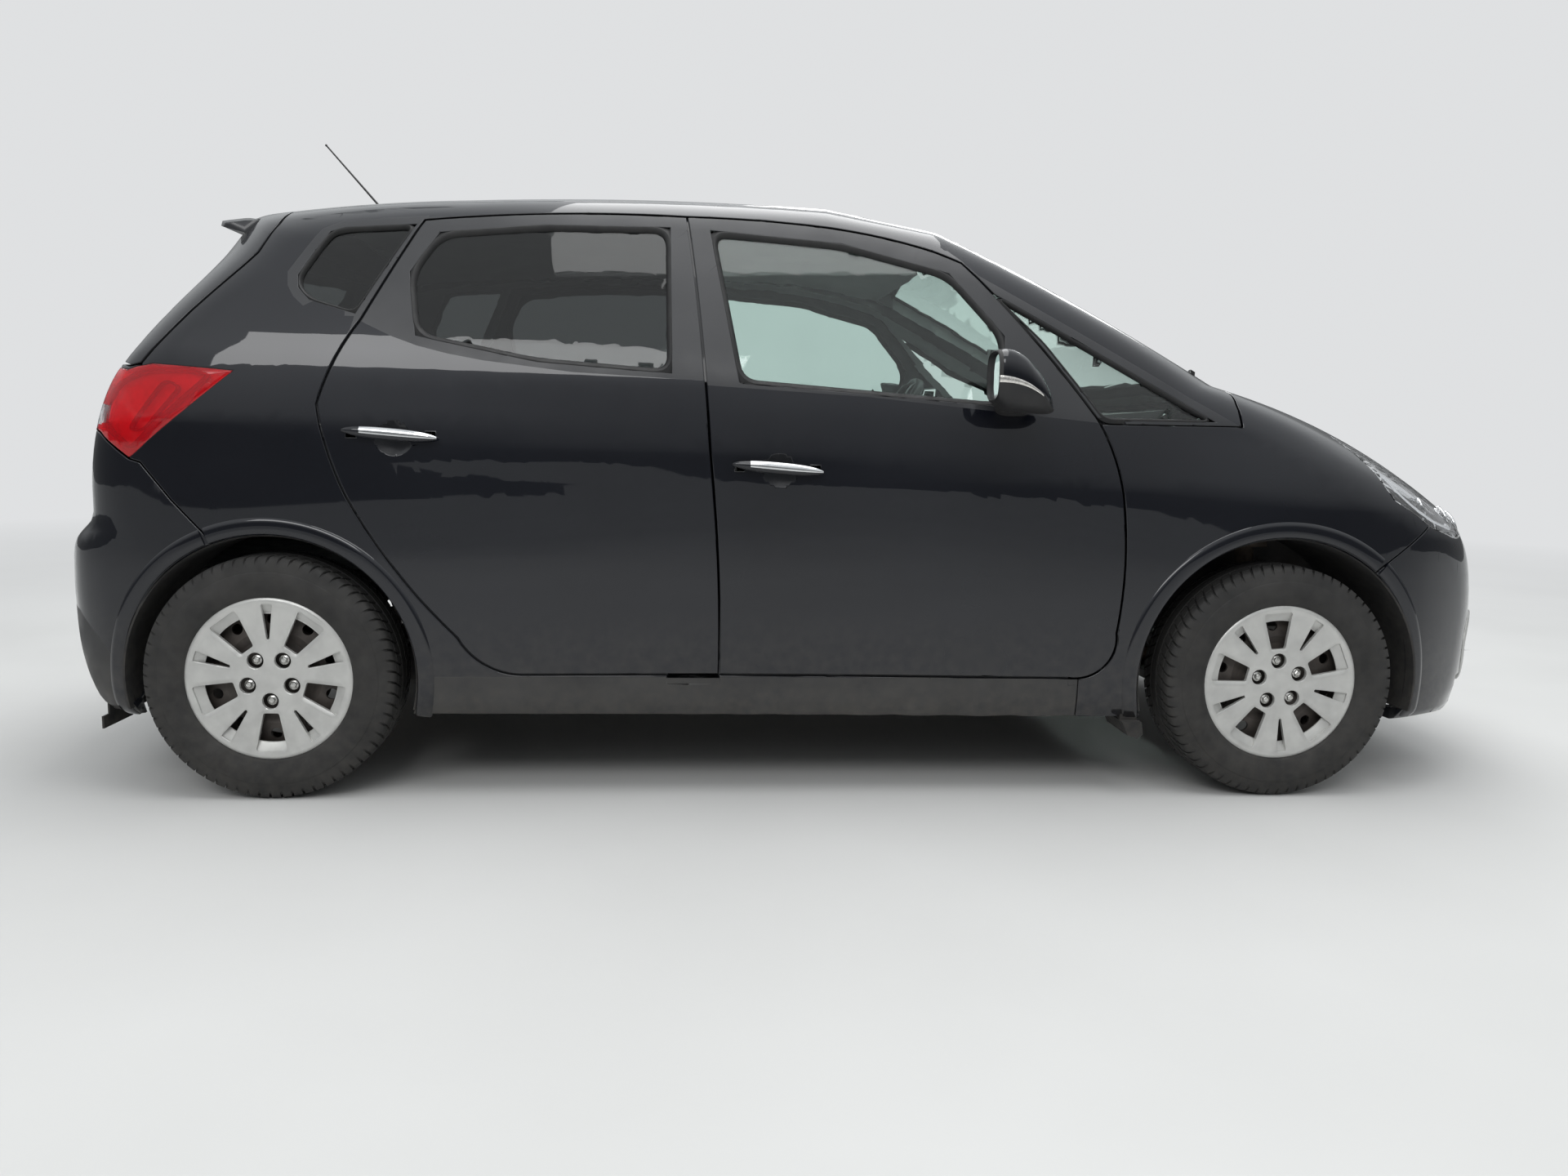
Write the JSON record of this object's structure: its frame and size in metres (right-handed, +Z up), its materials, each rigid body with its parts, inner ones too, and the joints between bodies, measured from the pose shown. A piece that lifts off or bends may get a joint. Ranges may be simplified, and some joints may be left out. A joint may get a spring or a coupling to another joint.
{
  "type": "compact minivan",
  "caption": "Compact five-door minivan with opening doors, bonnet and tailgate, steered front wheels, full cabin and trimmed wheel covers.",
  "frame": {"origin": "on the ground below the middle of the bounding box", "axes": "+X towards the nose, +Y to the left side of the car, +Z up"},
  "size_m": [4.1007, 2.01, 1.8009],
  "materials": {
    "paint": "gloss",
    "glass": "gloss",
    "dark_glass": "gloss",
    "black_plastic": "matte",
    "lamp_clear": "gloss",
    "lamp_red": "gloss",
    "tyre": "matte",
    "wheel_steel": "satin",
    "cover_silver": "satin",
    "body_steel": "satin",
    "cast": "rough",
    "cloth": "cloth",
    "trim": "grained"
  },
  "bodies": {
    "body": {"arch_liners": "black_plastic", "cowl_panel": "black_plastic", "dashboard": "trim", "engine_block": "cast", "exhaust": "body_steel", "fixed_side_glass": "dark_glass", "floor_pan": "body_steel", "fog_lamps": "lamp_clear", "front_bumper": "paint", "front_seats": "cloth", "front_structure": "body_steel", "front_subframe": "cast", "front_wings": "paint", "front_wipers": "black_plastic", "fuel_tank": "body_steel", "grille": "black_plastic", "headlamps": "lamp_clear", "rear_axle_beam": "cast", "rear_bench": "cloth", "rear_bumper": "paint", "roof_aerial": "black_plastic", "roof_panel": "paint", "seat_bases": "trim", "side_frame_left": "paint", "side_frame_right": "paint", "tail_lamps": "lamp_red", "windscreen": "glass"},
    "wheel_front_left": {"tyre_front_left": "tyre", "wheel_front_left": "wheel_steel", "wheel_cover_front_left": "cover_silver"},
    "wheel_front_right": {"tyre_front_right": "tyre", "wheel_front_right": "wheel_steel", "wheel_cover_front_right": "cover_silver"},
    "wheel_rear_left": {"tyre_rear_left": "tyre", "wheel_rear_left": "wheel_steel", "wheel_cover_rear_left": "cover_silver"},
    "wheel_rear_right": {"tyre_rear_right": "tyre", "wheel_rear_right": "wheel_steel", "wheel_cover_rear_right": "cover_silver"},
    "steer_left": {"knuckle_left": "cast"},
    "door_front_left": {"door_front_left": "paint", "door_glass_front_left": "glass", "mirror_left": "paint"},
    "door_rear_left": {"door_rear_left": "paint", "door_glass_rear_left": "dark_glass"},
    "steer_right": {"knuckle_right": "cast"},
    "door_front_right": {"door_front_right": "paint", "door_glass_front_right": "glass", "mirror_right": "paint"},
    "door_rear_right": {"door_rear_right": "paint", "door_glass_rear_right": "dark_glass"},
    "bonnet": {"bonnet": "paint"},
    "tailgate": {"tailgate": "paint", "tailgate_glass": "dark_glass", "rear_wiper": "black_plastic"},
    "steering_wheel": {"steering_wheel": "trim"}
  },
  "joints": [
    {"name": "steer_left", "type": "hinge", "parent": "body", "child": "steer_left", "pos_m": [1.21, 0.728, 0.222], "axis": [-0.0227, -0.2089, 0.9777], "range_deg": [-35, 35]},
    {"name": "steer_right", "type": "hinge", "parent": "body", "child": "steer_right", "pos_m": [1.21, -0.728, 0.222], "axis": [-0.0227, 0.2089, 0.9777], "range_deg": [-35, 35]},
    {"name": "roll_front_left", "type": "hinge", "parent": "steer_left", "child": "wheel_front_left", "pos_m": [1.21, 0.7705, 0.312], "axis": [0, 1, 0], "continuous": true},
    {"name": "roll_front_right", "type": "hinge", "parent": "steer_right", "child": "wheel_front_right", "pos_m": [1.21, -0.7705, 0.312], "axis": [0, 1, 0], "continuous": true},
    {"name": "roll_rear_left", "type": "hinge", "parent": "body", "child": "wheel_rear_left", "pos_m": [-1.405, 0.7725, 0.312], "axis": [0, 1, 0], "continuous": true},
    {"name": "roll_rear_right", "type": "hinge", "parent": "body", "child": "wheel_rear_right", "pos_m": [-1.405, -0.7725, 0.312], "axis": [0, 1, 0], "continuous": true},
    {"name": "open_door_front_left", "type": "hinge", "parent": "body", "child": "door_front_left", "pos_m": [0.707, 0.862, 0.6], "axis": [0, 0, 1], "range_deg": [-65, 0]},
    {"name": "open_door_front_right", "type": "hinge", "parent": "body", "child": "door_front_right", "pos_m": [0.707, -0.862, 0.6], "axis": [0, 0, 1], "range_deg": [0, 65]},
    {"name": "open_door_rear_left", "type": "hinge", "parent": "body", "child": "door_rear_left", "pos_m": [-0.346, 0.862, 0.6], "axis": [0, 0, 1], "range_deg": [-65, 0]},
    {"name": "open_door_rear_right", "type": "hinge", "parent": "body", "child": "door_rear_right", "pos_m": [-0.346, -0.862, 0.6], "axis": [0, 0, 1], "range_deg": [0, 65]},
    {"name": "open_bonnet", "type": "hinge", "parent": "body", "child": "bonnet", "pos_m": [1.075, 0, 1.066], "axis": [0, 1, 0], "range_deg": [-50, 0]},
    {"name": "open_tailgate", "type": "hinge", "parent": "body", "child": "tailgate", "pos_m": [-1.375, 0, 1.551], "axis": [0, 1, 0], "range_deg": [0, 82], "deforming": ["roof_aerial"]},
    {"name": "turn_steering_wheel", "type": "hinge", "parent": "body", "child": "steering_wheel", "pos_m": [0.345, 0.37, 0.985], "axis": [-0.866, 0, 0.5], "range_deg": [-490, 490]}
  ],
  "couplings": [
    {"joint": "steer_right", "follows": "steer_left", "ratio": 1},
    {"joint": "turn_steering_wheel", "follows": "steer_left", "ratio": 14}
  ]
}
